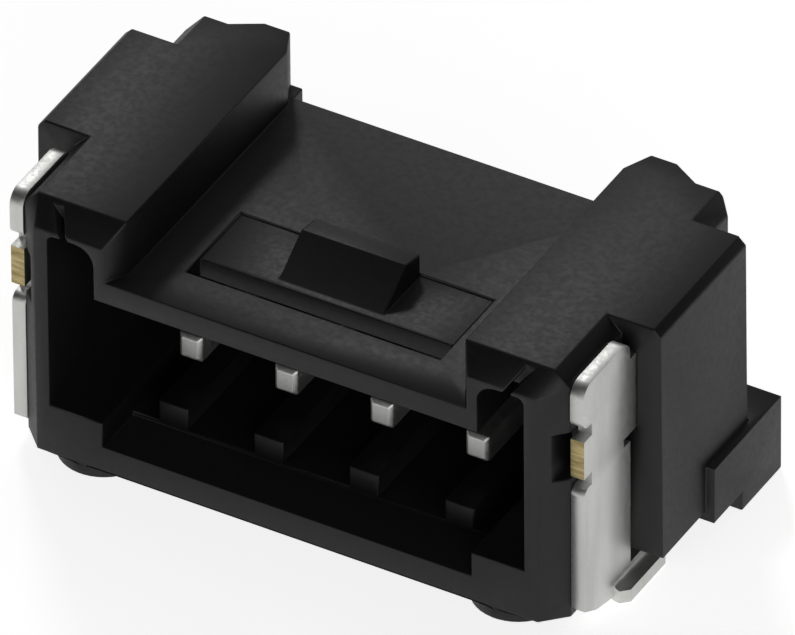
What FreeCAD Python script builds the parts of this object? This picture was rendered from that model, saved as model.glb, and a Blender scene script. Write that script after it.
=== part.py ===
import FreeCAD, Part
import os
import re
import Sketcher

# Four-way right-angle surface-mount header on a 2 mm pitch: a moulded housing,
# four formed contact pins and two stamped solder tabs. Millimetres.
# X runs along the contact row, the mouth looks along -Y and the board is Z = 0.

sizes = {
    # contact row
    "pitch": 2.00,
    "pin_width": 0.48,
    "pin_height": 0.56,
    "pin_level": 2.25,
    "pin_setback": 1.72,
    "pin_bend": 0.25,
    "pin_tip": 0.07,
    "tail_gap": 0.58,
    "tail_foot_length": 0.66,
    "fit_clearance": 0.01,
    # outside of the housing
    "end_room": 1.96,
    "side_wall": 0.73,
    "body_top": 5.82,
    "body_depth": 6.50,
    "standoff": 0.25,
    "front_chamfer": 0.45,
    "rear_chamfer": 0.22,
    "shoulder_chamfer": 0.31,
    # plug cavity and its end slots
    "floor_wall": 0.57,
    "roof_wall": 0.47,
    "rear_wall": 1.10,
    "slot_width": 0.96,
    "slot_roof": 0.55,
    "slot_outer_round": 0.15,
    "slot_inner_round": 0.38,
    "pad_width": 1.10,
    "pad_height": 0.53,
    "ledge_setback": 1.10,
    "ledge_height": 0.10,
    "rib_width": 0.62,
    "rib_height": 0.45,
    # trough with the lock
    "trough_room": 0.52,
    "trough_depth": 1.20,
    "ear_flare": 0.27,
    "ear_flare_length": 0.45,
    "bar_depth": 1.04,
    "window_width": 5.30,
    "window_depth": 0.51,
    "bay_depth": 0.04,
    "lock_width": 2.20,
    "lock_start": 1.70,
    "lock_crest": 2.55,
    "lock_end": 3.05,
    "crest_height": 0.54,
    "land_height": 0.45,
    # side flanges that hold the solder tabs
    "flange_width": 0.85,
    "flange_draft": 0.04,
    "flange_front": 2.33,
    "flange_length": 3.17,
    "flange_bottom": 0.62,
    "flange_bevel": 0.15,
    "sill_width": 1.03,
    "sill_front": 3.93,
    "sill_setback": 0.05,
    "sill_bottom": 0.40,
    "sill_top": 1.65,
    "sill_foot_length": 1.50,
    "sill_foot_width": 0.70,
    # rear guards and feet
    "guard_width": 0.81,
    "guard_length": 0.33,
    "guard_slope": 0.57,
    "guard_flare": 0.26,
    "guard_flare_start": 0.25,
    "foot_inset": 0.62,
    "foot_setback": 0.90,
    "foot_diameter": 1.80,
    # solder tabs
    "tab_sheet": 0.28,
    "tab_front": 0.44,
    "tab_brow": 0.41,
    "tab_gap": 0.20,
    "tab_drop": 0.22,
    "tab_round": 0.30,
    "tongue_drop": 0.67,
    "tongue_height": 1.70,
    "tongue_length": 2.53,
    "relief_width": 0.24,
    "relief_height": 0.18,
    "stub_front": 0.43,
    "stub_drop": 1.44,
    "stub_height": 0.85,
    "stub_notch": 0.27,
    "notch_depth": 0.28,
    "notch_round": 0.18,
    "tab_toe": 0.87,
    "toe_lift": 0.48,
    "toe_drop": 0.25,
    "heel_lift": 0.10,
    "sole_front": 1.50,
    "sole_rear": 3.08,
    "sole_width": 0.56,
    "sole_bend": 0.14,
    "sole_lip": 0.06,
    "sole_corner": 0.15,
    # cuts in the front wall
    "pocket_width": 0.26,
    "pocket_depth": 0.95,
    "pocket_margin": 0.10,
    "slit_inset": 0.53,
    "slit_width": 0.24,
    "slit_lean": 0.54,
    "slit_depth": 0.38,
}
contact_count = 4
sides = (-1, 1)

doc = FreeCAD.newDocument("connector_housing")
sheet = doc.addObject("Spreadsheet::Sheet", "Sizes")
for row, (alias, number) in enumerate(sizes.items(), start=1):
    sheet.set(f"A{row}", alias)
    sheet.set(f"B{row}", str(number))
    sheet.setAlias(f"B{row}", alias)
doc.recompute()

words = re.compile(r"\b(" + "|".join(sorted(sizes, key=len, reverse=True)) + r")\b")


def bound(formula):
    """Names the sheet in front of every size in a formula."""
    return words.sub(r"Sizes.\1", formula)


def number(formula):
    """The present value of a formula of sizes."""
    return float(sheet.evalExpression(bound(formula)))


def new_body(name, across="0"):
    """A body whose mouth plane is set half the overall depth in front of the origin."""
    body = doc.addObject("PartDesign::Body", name)
    body.Label = name
    body.setExpression("Placement.Base.x", bound(across))
    body.setExpression("Placement.Base.y", bound(f"-{overall_depth} / 2"))
    return body


def new_sketch(body, name, plane, offset="0"):
    """A sketch on one of the body's own planes, moved along the plane's normal."""
    sketch = body.newObject("Sketcher::SketchObject", name)
    datum = [item for item in body.Origin.OriginFeatures if item.Role == plane][0]
    sketch.AttachmentSupport = (datum, "")
    sketch.MapMode = "FlatFace"
    sketch.setExpression("AttachmentOffset.Base.z", bound(offset))
    return sketch


def outline(sketch, corners):
    """A closed outline whose corners are held by formulas of the sizes."""
    first = sketch.GeometryCount
    count = len(corners)
    points = [FreeCAD.Vector(number(h), number(v), 0) for h, v in corners]
    for i in range(count):
        sketch.addGeometry(Part.LineSegment(points[i], points[(i + 1) % count]), False)
    for i in range(count):
        sketch.addConstraint(Sketcher.Constraint("Coincident", first + i, 2, first + (i + 1) % count, 1))
    for i, (h, v) in enumerate(corners):
        for kind, formula in (("DistanceX", h), ("DistanceY", v)):
            rule = Sketcher.Constraint(kind, -1, 1, first + i, 1, number(formula))
            sketch.setExpression(f"Constraints[{sketch.addConstraint(rule)}]", bound(formula))


def rectangle(sketch, left, right, low, high):
    """A rectangle between two sides and two levels."""
    outline(sketch, [(left, low), (right, low), (right, high), (left, high)])


def disc(sketch, across, along, diameter):
    """A circle whose centre and diameter are held by formulas of the sizes."""
    centre = FreeCAD.Vector(number(across), number(along), 0)
    ring = sketch.addGeometry(Part.Circle(centre, FreeCAD.Vector(0, 0, 1), number(diameter) / 2), False)
    for rule, formula in ((Sketcher.Constraint("DistanceX", -1, 1, ring, 3, centre.x), across),
                          (Sketcher.Constraint("DistanceY", -1, 1, ring, 3, centre.y), along),
                          (Sketcher.Constraint("Diameter", ring, number(diameter)), diameter)):
        sketch.setExpression(f"Constraints[{sketch.addConstraint(rule)}]", bound(formula))


def extrude(body, kind, sketch, length, backwards=False, midplane=False):
    """A pad or pocket of a sketch, checked for the change of volume that it should make."""
    before = body.Shape.Volume if body.Tip else 0
    feature = body.newObject(f"PartDesign::{kind}", f"{kind}_{sketch.Name}")
    feature.Profile = sketch
    feature.setExpression("Length", bound(length))
    feature.Reversed = backwards
    feature.Midplane = midplane
    doc.recompute()
    gained = body.Shape.Volume - before
    if gained * (1 if kind == "Pad" else -1) <= 0:
        raise ValueError(f"{feature.Name} changes the volume by {gained:.4f}")
    return feature


def ease(body, kind, name, size, near):
    """A fillet or chamfer on the edges that a test picks by their middle point and direction."""
    base = body.Tip
    names = []
    for i, edge in enumerate(base.Shape.Edges, start=1):
        along = edge.Vertexes[-1].Point - edge.Vertexes[0].Point
        if along.Length > 0 and near(edge.CenterOfMass, along.normalize()):
            names.append(f"Edge{i}")
    if not names:
        raise ValueError(f"no edge found for {name}")
    feature = body.newObject(f"PartDesign::{kind}", name)
    feature.Base = (base, names)
    feature.setExpression("Radius" if kind == "Fillet" else "Size", bound(size))
    doc.recompute()
    return feature


def close(a, b):
    """Whether two lengths are the same within the search tolerance."""
    return abs(a - b) < 0.002


def across_sheet(corners):
    """A test that picks the edges along X at the corners of a side view."""
    spots = [(number(h), number(v)) for h, v in corners]
    return lambda middle, along: any(close(middle.y, h) and close(middle.z, v) for h, v in spots)


half_row = f"({contact_count - 1} * pitch / 2)"
mouth = f"({half_row} + end_room)"
side = f"({mouth} + side_wall)"
trough = f"({half_row} + trough_room)"
trough_floor = "(body_top - trough_depth)"
ceiling = f"({trough_floor} - roof_wall)"
slot_top = "(body_top - slot_roof)"
cavity_floor = "(standoff + floor_wall)"
pad_top = f"({cavity_floor} + pad_height)"
cavity_depth = "(body_depth - rear_wall)"
sill_rear = "(body_depth - sill_setback)"
tail_front = "(body_depth + tail_gap)"
tail_rear = f"({tail_front} + pin_height)"
overall_depth = f"({tail_rear} + tail_foot_length)"
tab_inner = f"({side} + fit_clearance)"
tab_outer = f"({tab_inner} + tab_sheet)"
tab_rear = "(flange_front - tab_gap)"
tongue_top = "(body_top - tongue_drop)"
tongue_bottom = f"({tongue_top} - tongue_height)"
tongue_end = "(flange_front + tongue_length)"
stub_top = "(body_top - stub_drop)"
stub_bottom = f"({stub_top} - stub_height)"


def contact_centre(index):
    """The place of a contact along the row."""
    return f"({index - (contact_count - 1) / 2} * pitch)"


def outer_block(housing):
    """The moulded block with the trough along its top and its chamfered outer edges."""
    sketch = new_sketch(housing, "outer_section", "XZ_Plane")
    outline(sketch, [(f"-{side}", "standoff"), (side, "standoff"), (side, "body_top"),
                     (trough, "body_top"), (trough, trough_floor), (f"-{trough}", trough_floor),
                     (f"-{trough}", "body_top"), (f"-{side}", "body_top")])
    extrude(housing, "Pad", sketch, "body_depth", backwards=True)
    top = number("body_top")
    rear = number("body_depth")
    half = number(side)
    inner = number(trough)
    ease(housing, "Chamfer", "shoulders", "shoulder_chamfer",
         lambda middle, along: close(abs(middle.x), half) and close(middle.z, top))
    ease(housing, "Chamfer", "front_corners", "front_chamfer",
         lambda middle, along: close(middle.y, 0) and abs(middle.x) > inner + 0.01 and abs(along.x) < 0.99
         or close(middle.y, 0) and close(middle.z, top))
    ease(housing, "Chamfer", "rear_corners", "rear_chamfer",
         lambda middle, along: close(middle.y, rear) and close(abs(middle.x), half))


def wall_flares(housing):
    """The slanted ends of the trough walls that lead the plug's latch in and let the wires out."""
    sketch = new_sketch(housing, "wall_flares", "XY_Plane", "body_top")
    for way in sides:
        inner = f"{way} * {trough}"
        outline(sketch, [(inner, "0"), (f"{way} * ({trough} + ear_flare)", "0"), (inner, "ear_flare_length")])
        outline(sketch, [(inner, "body_depth - guard_flare_start"), (inner, "body_depth + guard_length"),
                         (f"{way} * ({trough} + guard_flare)", "body_depth + guard_length")])
    extrude(housing, "Pocket", sketch, "trough_depth")


def plug_cavity(housing):
    """The cavity for the plug, with a tall slot and a raised pad at each end."""
    sketch = new_sketch(housing, "cavity_section", "XZ_Plane")
    slot = f"({mouth} - slot_width)"
    pad = f"({mouth} - pad_width)"
    outline(sketch, [(f"-{mouth}", pad_top), (f"-{pad}", pad_top), (f"-{pad}", cavity_floor),
                     (pad, cavity_floor), (pad, pad_top), (mouth, pad_top), (mouth, slot_top),
                     (slot, slot_top), (slot, ceiling), (f"-{slot}", ceiling),
                     (f"-{slot}", slot_top), (f"-{mouth}", slot_top)])
    extrude(housing, "Pocket", sketch, cavity_depth)
    high = number(slot_top)
    for name, size, edge in (("slot_outer_rounds", "slot_outer_round", mouth),
                             ("slot_inner_rounds", "slot_inner_round", slot)):
        across = number(edge)
        ease(housing, "Fillet", name, size,
             lambda middle, along: close(middle.z, high) and close(abs(middle.x), across))


def floor_ledge(housing):
    """The low ledge on the cavity floor and the rib under each contact."""
    depth = f"{cavity_depth} - ledge_setback"
    sketch = new_sketch(housing, "ledge_section", "XZ_Plane", "-ledge_setback")
    pad = f"({mouth} - pad_width)"
    rectangle(sketch, f"-{pad}", pad, cavity_floor, f"{cavity_floor} + ledge_height")
    extrude(housing, "Pad", sketch, depth, backwards=True)
    ribs = new_sketch(housing, "rib_section", "XZ_Plane", "-ledge_setback")
    base = f"{cavity_floor} + ledge_height"
    for i in range(contact_count):
        centre = contact_centre(i)
        rectangle(ribs, f"{centre} - rib_width / 2", f"{centre} + rib_width / 2", base, f"{base} + rib_height")
    extrude(housing, "Pad", ribs, depth, backwards=True)


def lock(housing):
    """The bay, the window behind the front bar and the locking ramp."""
    bay = new_sketch(housing, "lock_bay", "XY_Plane", trough_floor)
    rectangle(bay, "-window_width / 2", "window_width / 2", "bar_depth", "lock_end")
    extrude(housing, "Pocket", bay, "bay_depth")
    window = new_sketch(housing, "lock_window", "XY_Plane", trough_floor)
    rectangle(window, "-window_width / 2", "window_width / 2", "bar_depth", "bar_depth + window_depth")
    extrude(housing, "Pocket", window, "roof_wall")
    ramp = new_sketch(housing, "lock_ramp", "YZ_Plane")
    base = f"{trough_floor} - bay_depth"
    outline(ramp, [("lock_start", base), ("lock_end", base), ("lock_end", f"{trough_floor} + land_height"),
                   ("lock_crest", f"{trough_floor} + crest_height")])
    extrude(housing, "Pad", ramp, "lock_width", midplane=True)


def flanges(housing):
    """The two side flanges, each with a slot that takes the tab's tongue."""
    sketch = new_sketch(housing, "flange_section", "XZ_Plane", "-flange_front")
    for way in sides:
        inner = f"{way} * ({side} - front_chamfer)"
        outer = f"{side} + flange_width"
        outline(sketch, [(inner, "flange_bottom"), (f"{way} * ({outer})", "flange_bottom"),
                         (f"{way} * ({outer} - flange_draft)", "body_top - flange_bevel"),
                         (f"{way} * ({outer} - flange_draft - flange_bevel)", "body_top"), (inner, "body_top")])
    extrude(housing, "Pad", sketch, "flange_length", backwards=True)
    slots = new_sketch(housing, "tongue_slots", "XZ_Plane", "-flange_front")
    for way in sides:
        rectangle(slots, f"{way} * {side}", f"{way} * ({tab_outer} + fit_clearance)",
                  f"{tongue_bottom} - fit_clearance", f"{tongue_top} + fit_clearance")
    extrude(housing, "Pocket", slots, "tongue_length + fit_clearance")


def sills(housing):
    """The low side sills behind the tabs, each with its own foot."""
    sketch = new_sketch(housing, "sill_section", "XZ_Plane", "-sill_front")
    for way in sides:
        rectangle(sketch, f"{way} * ({side} - rear_chamfer)", f"{way} * ({side} + sill_width)",
                  "sill_bottom", "sill_top")
    extrude(housing, "Pad", sketch, f"{sill_rear} - sill_front", backwards=True)
    feet = new_sketch(housing, "sill_feet", "XZ_Plane", f"-({sill_rear} - sill_foot_length)")
    for way in sides:
        rectangle(feet, f"{way} * ({side} + sill_width - sill_foot_width)", f"{way} * ({side} + sill_width)",
                  "0", "sill_bottom")
    extrude(housing, "Pad", feet, "sill_foot_length", backwards=True)


def guards_and_feet(housing):
    """The guards beside the tails and the four round feet that set the housing off the board."""
    guards = new_sketch(housing, "rear_guards", "XY_Plane", "standoff")
    for way in sides:
        outline(guards, [(f"{way} * {trough}", "body_depth"), (f"{way} * {trough}", "body_depth + guard_length"),
                         (f"{way} * ({trough} + guard_width)", "body_depth + guard_length"),
                         (f"{way} * ({trough} + guard_width + guard_slope)", "body_depth")])
    extrude(housing, "Pad", guards, "body_top - standoff")
    feet = new_sketch(housing, "round_feet", "XY_Plane")
    for way in sides:
        for along in ("foot_setback", "body_depth - foot_setback"):
            disc(feet, f"{way} * ({mouth} - foot_inset)", along, "foot_diameter")
    extrude(housing, "Pad", feet, "standoff")


def front_cuts(housing):
    """The pocket beside each carrier stub and the leaning slit above each end slot."""
    pockets = new_sketch(housing, "stub_pockets", "XZ_Plane")
    for way in sides:
        rectangle(pockets, f"{way} * ({side} - pocket_width)", f"{way} * ({side} + pocket_width)",
                  f"{stub_bottom} - pocket_margin", f"{stub_top} + pocket_margin")
    extrude(housing, "Pocket", pockets, "pocket_depth")
    slits = new_sketch(housing, "slot_slits", "XZ_Plane")
    start = f"({mouth} - slit_inset)"
    for way in sides:
        outline(slits, [(f"{way} * {start}", f"{slot_top} - slot_outer_round"),
                        (f"{way} * ({start} + slit_width / 2)", f"{slot_top} - slot_outer_round"),
                        (f"{way} * ({start} + slit_lean + slit_width)", "body_top + slot_outer_round"),
                        (f"{way} * ({start} + slit_lean)", "body_top + slot_outer_round")])
    extrude(housing, "Pocket", slits, "slit_depth")


def pin_holes(housing):
    """A hole through the rear wall for each contact."""
    sketch = new_sketch(housing, "pin_holes", "XZ_Plane", f"-{cavity_depth}")
    for i in range(contact_count):
        centre = contact_centre(i)
        rectangle(sketch, f"{centre} - pin_width / 2 - fit_clearance", f"{centre} + pin_width / 2 + fit_clearance",
                  "pin_level - pin_height / 2 - fit_clearance", "pin_level + pin_height / 2 + fit_clearance")
    extrude(housing, "Pocket", sketch, "rear_wall")


def build_housing():
    """The one-piece moulded housing."""
    housing = new_body("housing")
    outer_block(housing)
    plug_cavity(housing)
    floor_ledge(housing)
    lock(housing)
    flanges(housing)
    sills(housing)
    guards_and_feet(housing)
    wall_flares(housing)
    front_cuts(housing)
    pin_holes(housing)
    return housing


def build_pin(index):
    """One contact: a straight blade that bends down behind the housing and out to its solder foot."""
    pin = new_body(f"contact_pin_{index + 1}", contact_centre(index))
    sketch = new_sketch(pin, "side_view", "YZ_Plane")
    low = "(pin_level - pin_height / 2)"
    high = "(pin_level + pin_height / 2)"
    outline(sketch, [("pin_setback", low), (tail_front, low), (tail_front, "0"), (overall_depth, "0"),
                     (overall_depth, "pin_height"), (tail_rear, "pin_height"), (tail_rear, high),
                     ("pin_setback", high)])
    extrude(pin, "Pad", sketch, "pin_width", midplane=True)
    inside = [(tail_front, low), (tail_rear, "pin_height")]
    outside = [(tail_front, "0"), (tail_rear, high)]
    for name, radius, corners in (("inside_bends", "pin_bend", inside),
                                  ("outside_bends", "pin_bend + pin_height", outside)):
        ease(pin, "Fillet", name, radius, across_sheet(corners))
    tip = number("pin_setback")
    ease(pin, "Chamfer", "tip_bevels", "pin_tip", lambda middle, along: close(middle.y, tip))
    return pin


def build_tab(name, way):
    """One solder tab: a bent solder foot, then the stamped side plate with its carrier stub and its tongue."""
    tab = new_body(name)
    near = f"{way} * {tab_inner}"
    bend = "(tab_sheet + sole_bend)"
    sole = new_sketch(tab, "sole_section", "XZ_Plane", "-sole_front")
    outline(sole, [(near, "0"), (f"{way} * ({tab_inner} + sole_width)", "0"),
                   (f"{way} * ({tab_inner} + sole_width)", "tab_sheet"), (f"{way} * {tab_outer}", "tab_sheet"),
                   (f"{way} * {tab_outer}", f"{bend} + sole_lip"), (near, f"{bend} + sole_lip")])
    extrude(tab, "Pad", sole, "sole_rear - sole_front", backwards=True)
    inner = number(tab_inner)
    outer = number(tab_outer)
    tip = number(f"{tab_inner} + sole_width")
    thick = number("tab_sheet")
    ease(tab, "Fillet", "heel_round", bend,
         lambda middle, along: close(abs(middle.x), inner) and close(middle.z, 0))
    ease(tab, "Fillet", "bend_round", "sole_bend",
         lambda middle, along: close(abs(middle.x), outer) and close(middle.z, thick))
    ease(tab, "Chamfer", "sole_corners", "sole_corner",
         lambda middle, along: close(abs(middle.x), tip) and close(abs(along.z), 1))

    plate = new_sketch(tab, "plate_outline", "YZ_Plane", near)
    tab_top = "(body_top - tab_drop)"
    notch_back = "(tab_front + notch_depth)"
    notch_low = f"({stub_bottom} - stub_notch)"
    notch_high = f"({stub_top} + stub_notch)"
    relief_front = f"({tab_rear} - relief_width)"
    relief_low = f"({tongue_bottom} - relief_height)"
    outline(plate, [("tab_front", "toe_lift"), ("tab_toe", "toe_drop"), ("sole_front", "heel_lift"),
                    ("sole_front", bend), (tab_rear, bend), (tab_rear, relief_low), (relief_front, relief_low),
                    (relief_front, tongue_bottom), (tongue_end, tongue_bottom), (tongue_end, tongue_top),
                    (tab_rear, tongue_top), (tab_rear, tab_top), ("tab_brow", tab_top), ("tab_brow", notch_high),
                    (notch_back, notch_high), (notch_back, stub_top), ("stub_front", stub_top),
                    ("stub_front", stub_bottom), (notch_back, stub_bottom), (notch_back, notch_low),
                    ("tab_front", notch_low)])
    extrude(tab, "Pad", plate, "tab_sheet", backwards=way < 0)
    ease(tab, "Fillet", "crown_rounds", "tab_round", across_sheet([("tab_brow", tab_top), (tab_rear, tab_top)]))
    ease(tab, "Fillet", "notch_rounds", "notch_round",
         across_sheet([("tab_brow", notch_high), ("tab_front", notch_low)]))
    return tab


parts = [build_housing()]
for index in range(contact_count):
    parts.append(build_pin(index))
parts.append(build_tab("solder_tab_left", -1))
parts.append(build_tab("solder_tab_right", 1))
doc.recompute()

for item in doc.Objects:
    if "Invalid" in item.State or "Error" in item.State:
        raise ValueError(f"{item.Name} did not build: {item.State}")
for part in parts:
    if part.Shape.isNull() or not part.Shape.isValid():
        raise ValueError(f"{part.Label} has no valid shape")

os.makedirs("parts", exist_ok=True)
for part in parts:
    part.Shape.exportStep(f"parts/{part.Label}.step")
    box = part.Shape.BoundBox
    print(f"{part.Label}: {len(part.Shape.Solids)} solid, volume {part.Shape.Volume:.3f}, "
          f"x {box.XMin:.2f}..{box.XMax:.2f} y {box.YMin:.2f}..{box.YMax:.2f} z {box.ZMin:.2f}..{box.ZMax:.2f}")
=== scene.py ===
import math
import bpy
from mathutils import Matrix, Vector


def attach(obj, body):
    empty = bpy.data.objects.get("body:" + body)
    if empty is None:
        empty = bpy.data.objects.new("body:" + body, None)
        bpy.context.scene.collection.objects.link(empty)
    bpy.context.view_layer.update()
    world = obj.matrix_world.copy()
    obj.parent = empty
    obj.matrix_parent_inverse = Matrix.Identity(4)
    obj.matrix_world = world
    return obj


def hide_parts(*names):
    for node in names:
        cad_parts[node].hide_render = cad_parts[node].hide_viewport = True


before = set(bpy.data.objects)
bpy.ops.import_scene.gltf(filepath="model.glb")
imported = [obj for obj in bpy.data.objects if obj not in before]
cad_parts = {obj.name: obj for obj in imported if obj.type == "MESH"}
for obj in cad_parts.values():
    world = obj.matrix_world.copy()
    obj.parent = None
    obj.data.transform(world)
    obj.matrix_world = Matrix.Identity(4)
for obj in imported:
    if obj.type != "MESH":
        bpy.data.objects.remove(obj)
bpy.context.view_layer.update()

bpy.ops.object.select_all(action="DESELECT")
mm = 0.001  # the frame is in metres, the notes below are in millimetres
bench = 1000  # pieces are shaped at a thousand times their size
mergeDistance = 0.0005  # in the bench's millimetres
rampStart, rampEnd = 0.35, 0.65  # the part of a noise that carries its pattern


# small helpers for nodes

def addNode(material, kind, **values):
    node = material.node_tree.nodes.new(kind)
    for name, value in values.items():
        if name in node.inputs:
            node.inputs[name].default_value = value
        else:
            setattr(node, name, value)
    return node


def joinNodes(material, *pairs):
    for (fromNode, output), (toNode, socket) in pairs:
        material.node_tree.links.new(fromNode.outputs[output], toNode.inputs[socket])


def startMaterial(name):
    material = bpy.data.materials.new(name)
    material.use_nodes = True
    shader = material.node_tree.nodes["Principled BSDF"]
    place = addNode(material, "ShaderNodeTexCoord")
    return material, shader, place


def grain(material, place, scale, detail=3.0, stretch=None):
    # noise in object space, scale counted per millimetre
    noise = addNode(material, "ShaderNodeTexNoise", Scale=scale / mm, Detail=detail)
    if stretch:
        turn = addNode(material, "ShaderNodeMapping", Scale=stretch)
        joinNodes(material, ((place, "Object"), (turn, "Vector")), ((turn, "Vector"), (noise, "Vector")))
    else:
        joinNodes(material, ((place, "Object"), (noise, "Vector")))
    return noise


def ramp(material, source, output, low, high):
    # a grey or coloured range picked out of a noise
    spread = addNode(material, "ShaderNodeValToRGB")
    first, last = spread.color_ramp.elements
    first.position, last.position = rampStart, rampEnd
    first.color = (*low, 1) if isinstance(low, tuple) else (low, low, low, 1)
    last.color = (*high, 1) if isinstance(high, tuple) else (high, high, high, 1)
    joinNodes(material, ((source, output), (spread, "Fac")))
    return spread


# materials

plasticFinish = {
    "dark": (0.0040, 0.0040, 0.0043),
    "pale": (0.0060, 0.0060, 0.0064),
    "specular": 0.48,
    "roughLow": 0.46,
    "roughHigh": 0.52,
    "flowScale": 0.35,
    "mottleScale": 9.0,
    "grainScale": 34.0,
    "grainDepth": 0.0015,
    "grainStrength": 0.5,
}


def mouldedPlastic():
    finish = plasticFinish
    material, shader, place = startMaterial("mouldedPlastic")
    flow = grain(material, place, finish["flowScale"], 4)
    mottle = grain(material, place, finish["mottleScale"], 5)
    skin = grain(material, place, finish["grainScale"], 3)
    tone = ramp(material, flow, "Fac", finish["dark"], finish["pale"])
    gloss = ramp(material, mottle, "Fac", finish["roughLow"], finish["roughHigh"])
    relief = addNode(material, "ShaderNodeMath", operation="ADD")
    depth = finish["grainDepth"] * mm
    bump = addNode(material, "ShaderNodeBump", Strength=finish["grainStrength"], Distance=depth)
    joinNodes(
        material,
        ((mottle, "Fac"), (relief, 0)),
        ((skin, "Fac"), (relief, 1)),
        ((relief, 0), (bump, "Height")),
        ((tone, "Color"), (shader, "Base Color")),
        ((gloss, "Color"), (shader, "Roughness")),
        ((bump, "Normal"), (shader, "Normal")),
    )
    shader.inputs["Specular IOR Level"].default_value = finish["specular"]
    return material


tinFinish = {
    "dull": (0.72, 0.72, 0.695),
    "bright": (0.84, 0.84, 0.82),
    "roughLow": 0.42,
    "roughHigh": 0.52,
    "rollScale": 1.6,
    "rollStretch": (1.0, 1.0, 0.18),
    "pitScale": 14.0,
    "pitDepth": 0.003,
    "pitStrength": 0.5,
}


def tinPlate():
    finish = tinFinish
    material, shader, place = startMaterial("tinPlate")
    roll = grain(material, place, finish["rollScale"], 5, finish["rollStretch"])
    pits = grain(material, place, finish["pitScale"], 2)
    tone = ramp(material, roll, "Fac", finish["dull"], finish["bright"])
    gloss = ramp(material, pits, "Fac", finish["roughLow"], finish["roughHigh"])
    depth = finish["pitDepth"] * mm
    bump = addNode(material, "ShaderNodeBump", Strength=finish["pitStrength"], Distance=depth)
    joinNodes(
        material,
        ((tone, "Color"), (shader, "Base Color")),
        ((gloss, "Color"), (shader, "Roughness")),
        ((pits, "Fac"), (bump, "Height")),
        ((bump, "Normal"), (shader, "Normal")),
    )
    shader.inputs["Metallic"].default_value = 1.0
    return material


cutFinish = {
    "low": (0.36, 0.28, 0.12),
    "high": (0.62, 0.52, 0.27),
    "rough": 0.45,
    "streakScale": 7.0,
    "streakStretch": (0.3, 1.0, 2.0),
    "streakDepth": 0.006,
    "streakStrength": 0.6,
}


def bareCut():
    finish = cutFinish
    material, shader, place = startMaterial("bareCut")
    streak = grain(material, place, finish["streakScale"], 3, finish["streakStretch"])
    tone = ramp(material, streak, "Fac", finish["low"], finish["high"])
    depth = finish["streakDepth"] * mm
    bump = addNode(material, "ShaderNodeBump", Strength=finish["streakStrength"], Distance=depth)
    joinNodes(
        material,
        ((tone, "Color"), (shader, "Base Color")),
        ((streak, "Fac"), (bump, "Height")),
        ((bump, "Normal"), (shader, "Normal")),
    )
    shader.inputs["Metallic"].default_value = 1.0
    shader.inputs["Roughness"].default_value = finish["rough"]
    return material


plastic = mouldedPlastic()
tin = tinPlate()
cutMetal = bareCut()
print("materials made")


# shaping the pieces on the bench

def workOn(piece):
    bpy.ops.object.select_all(action="DESELECT")
    piece.select_set(True)
    bpy.context.view_layer.objects.active = piece


def resize(piece, factor):
    workOn(piece)
    piece.scale = (factor, factor, factor)
    bpy.ops.object.transform_apply(location=False, rotation=False, scale=True)


def benchCopy(nodeName, pieceName):
    # a merged copy of a frame node, blown up so that small edges stay apart
    piece = bpy.data.objects.new(pieceName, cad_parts[nodeName].data.copy())
    piece.data.name = pieceName
    bpy.context.scene.collection.objects.link(piece)
    resize(piece, bench)
    bpy.ops.object.mode_set(mode="EDIT")
    bpy.ops.mesh.select_all(action="SELECT")
    bpy.ops.mesh.remove_doubles(threshold=mergeDistance)
    bpy.ops.mesh.select_all(action="DESELECT")
    bpy.ops.object.mode_set(mode="OBJECT")
    return piece


def roundEdges(piece, width, segments, sharpAngle, clamp=False):
    workOn(piece)
    corners = [corner.co.copy() for corner in piece.data.vertices]
    lows = [min(corner[axis] for corner in corners) for axis in range(3)]
    highs = [max(corner[axis] for corner in corners) for axis in range(3)]
    bevel = piece.modifiers.new("edges", "BEVEL")
    bevel.width = width
    bevel.segments = segments
    bevel.limit_method = "ANGLE"
    bevel.angle_limit = math.radians(sharpAngle)
    bevel.use_clamp_overlap = clamp
    bpy.ops.object.modifier_apply(modifier="edges")
    # no point leaves the box that the piece had
    for corner in piece.data.vertices:
        for axis in range(3):
            corner.co[axis] = min(max(corner.co[axis], lows[axis]), highs[axis])
    bpy.ops.object.shade_smooth_by_angle(angle=math.radians(sharpAngle))


def dress(piece, *finishes):
    piece.data.materials.clear()
    for finish in finishes:
        piece.data.materials.append(finish)


def handOver(piece, nodeName):
    # back to real size, in place of its frame node
    resize(piece, 1 / bench)
    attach(piece, "root")
    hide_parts(nodeName)


housingShape = {
    "edge": 0.035,
    "segments": 2,
    "sharpAngle": 32,
}


def makeHousing():
    shape = housingShape
    piece = benchCopy("housing", "housingShell")
    roundEdges(piece, shape["edge"], shape["segments"], shape["sharpAngle"])
    dress(piece, plastic)
    handOver(piece, "housing")


pinShape = {
    "count": 4,
    "edge": 0.03,
    "segments": 2,
    "sharpAngle": 32,
}


def makePins():
    shape = pinShape
    for i in range(1, shape["count"] + 1):
        piece = benchCopy(f"contact_pin_{i}", f"contactPin{i}")
        roundEdges(piece, shape["edge"], shape["segments"], shape["sharpAngle"])
        dress(piece, tin)
        handOver(piece, f"contact_pin_{i}")


tabShape = {
    "edge": 0.03,
    "segments": 2,
    "sharpAngle": 32,
    "cutLevel": -3.72,
    "cutDepth": 0.02,
    "cutLow": 3.50,
    "cutHigh": 4.42,
    "cutFacing": -0.7,
}


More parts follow.
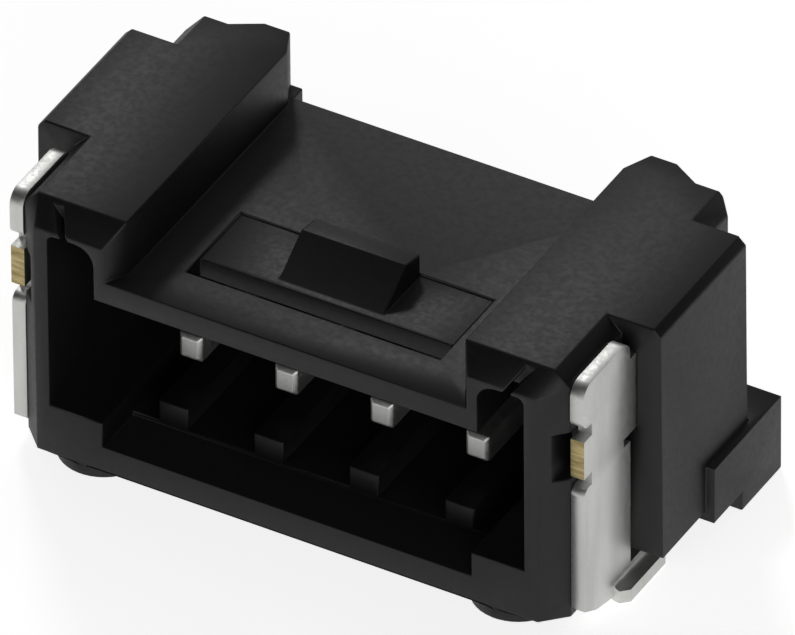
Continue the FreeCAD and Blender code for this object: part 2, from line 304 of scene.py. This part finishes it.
def makeTabs():
    shape = tabShape
    for side in ("left", "right"):
        piece = benchCopy(f"solder_tab_{side}", f"solderTab{side.capitalize()}")
        roundEdges(piece, shape["edge"], shape["segments"], shape["sharpAngle"], clamp=True)
        dress(piece, tin, cutMetal)
        # bare metal where the upper stub was sheared from its strip
        for face in piece.data.polygons:
            atCut = abs(face.center.y - shape["cutLevel"]) < shape["cutDepth"]
            inHeight = shape["cutLow"] < face.center.z < shape["cutHigh"]
            if atCut and inHeight and face.normal.y < shape["cutFacing"]:
                face.material_index = 1
        handOver(piece, f"solder_tab_{side}")


makeHousing()
print("housing made")
makePins()
makeTabs()
print("pins and tabs made")


# studio

studio = {
    "floorSize": 600.0,
    "floorDrop": 0.02,
    "floorColour": (0.86, 0.86, 0.86),
    "floorRough": 0.9,
    "cameraLift": 0.80,
    "glossLift": 0.52,
    "glowFrom": (-0.30, 0.80, 0.52),
    "glowStart": 0.30,
    "glowEnd": 0.85,
    "glowLow": 0.010,
    "glowHigh": 0.27,
}


def makeFloor():
    values = studio
    drop = values["floorDrop"] * mm
    bpy.ops.mesh.primitive_plane_add(size=values["floorSize"] * mm, location=(0, 0, -drop))
    floor = bpy.context.object
    floor.name = "studioFloor"
    material, shader, _ = startMaterial("paleFloor")
    shader.inputs["Base Color"].default_value = (*values["floorColour"], 1)
    shader.inputs["Roughness"].default_value = values["floorRough"]
    shader.inputs["Specular IOR Level"].default_value = 0.0
    # white to the camera, and pale in what the part reflects
    path = addNode(material, "ShaderNodeLightPath")
    toCamera = addNode(material, "ShaderNodeMath", operation="MULTIPLY")
    toCamera.inputs[1].default_value = values["cameraLift"]
    toGloss = addNode(material, "ShaderNodeMath", operation="MULTIPLY")
    toGloss.inputs[1].default_value = values["glossLift"]
    lift = addNode(material, "ShaderNodeMath", operation="ADD")
    joinNodes(
        material,
        ((path, "Is Camera Ray"), (toCamera, 0)),
        ((path, "Is Glossy Ray"), (toGloss, 0)),
        ((toCamera, 0), (lift, 0)),
        ((toGloss, 0), (lift, 1)),
        ((lift, 0), (shader, "Emission Strength")),
    )
    shader.inputs["Emission Color"].default_value = (1, 1, 1, 1)
    floor.data.materials.append(material)


def makeWorld():
    # a pale wall behind the part that fades to a dark room, and white to the camera
    values = studio
    world = bpy.data.worlds.new("studioWorld")
    bpy.context.scene.world = world
    world.use_nodes = True
    sky = world.node_tree.nodes["Background"]
    sky.inputs["Color"].default_value = (1, 1, 1, 1)
    place = addNode(world, "ShaderNodeTexCoord")
    facing = addNode(world, "ShaderNodeVectorMath", operation="DOT_PRODUCT")
    facing.inputs[1].default_value = Vector(values["glowFrom"]).normalized()
    glow = addNode(world, "ShaderNodeMapRange")
    glow.inputs["From Min"].default_value = values["glowStart"]
    glow.inputs["From Max"].default_value = values["glowEnd"]
    glow.inputs["To Min"].default_value = values["glowLow"]
    glow.inputs["To Max"].default_value = values["glowHigh"]
    path = addNode(world, "ShaderNodeLightPath")
    seen = addNode(world, "ShaderNodeMath", operation="MAXIMUM")
    joinNodes(
        world,
        ((place, "Generated"), (facing, 0)),
        ((facing, "Value"), (glow, "Value")),
        ((path, "Is Camera Ray"), (seen, 0)),
        ((glow, "Result"), (seen, 1)),
        ((seen, 0), (sky, "Strength")),
    )


# each lamp: direction from the part, distance and size in millimetres, power in watts
lamps = {
    "backKey": {"towards": (-0.47, 0.58, 0.69), "distance": 450, "size": 70, "power": 0.25},
    "mouthFill": {"towards": (0.15, -0.95, 0.22), "distance": 450, "size": 200, "power": 0.10},
    "frontSoft": {"towards": (0.62, -0.72, 0.30), "distance": 450, "size": 260, "power": 0.42},
}


def makeLamps():
    for name, lamp in lamps.items():
        towards = Vector(lamp["towards"]).normalized()
        bpy.ops.object.light_add(type="AREA", location=towards * lamp["distance"] * mm)
        light = bpy.context.object
        light.name = name
        light.data.energy = lamp["power"]
        light.data.size = lamp["size"] * mm
        light.rotation_mode = "QUATERNION"
        light.rotation_quaternion = towards.to_track_quat("Z", "Y")
        light.visible_camera = False


# the photograph's viewpoint, from the outline of the part, brought nearer so that no view is cut off
viewpoint = {
    "azimuth": 29.958,
    "elevation": 37.891,
    "roll": -0.465,
    "distance": 500.0,
    "target": (0.0434, -0.1122, 2.5473),
    "lens": 1242.3,
    "sensor": 36.0,
    "clipStart": 0.01,
    "clipEnd": 10.0,
}


def makeCamera():
    values = viewpoint
    turn, rise, roll = (math.radians(values[key]) for key in ("azimuth", "elevation", "roll"))
    back = Vector((math.sin(turn) * math.cos(rise), -math.cos(turn) * math.cos(rise), math.sin(rise)))
    right = Vector((math.cos(turn), math.sin(turn), 0))
    up = back.cross(right)
    rolledRight = right * math.cos(roll) + up * math.sin(roll)
    rolledUp = up * math.cos(roll) - right * math.sin(roll)
    bpy.ops.object.camera_add()
    camera = bpy.context.object
    place = (Vector(values["target"]) + back * values["distance"]) * mm
    facing = Matrix((rolledRight, rolledUp, back)).transposed().to_4x4()
    camera.matrix_world = Matrix.Translation(place) @ facing
    camera.data.lens = values["lens"]
    camera.data.sensor_width = values["sensor"]
    camera.data.clip_start = values["clipStart"]
    camera.data.clip_end = values["clipEnd"]
    bpy.context.scene.camera = camera


makeFloor()
makeWorld()
makeLamps()
makeCamera()
bpy.context.scene.view_settings.view_transform = "Standard"
print("studio made")
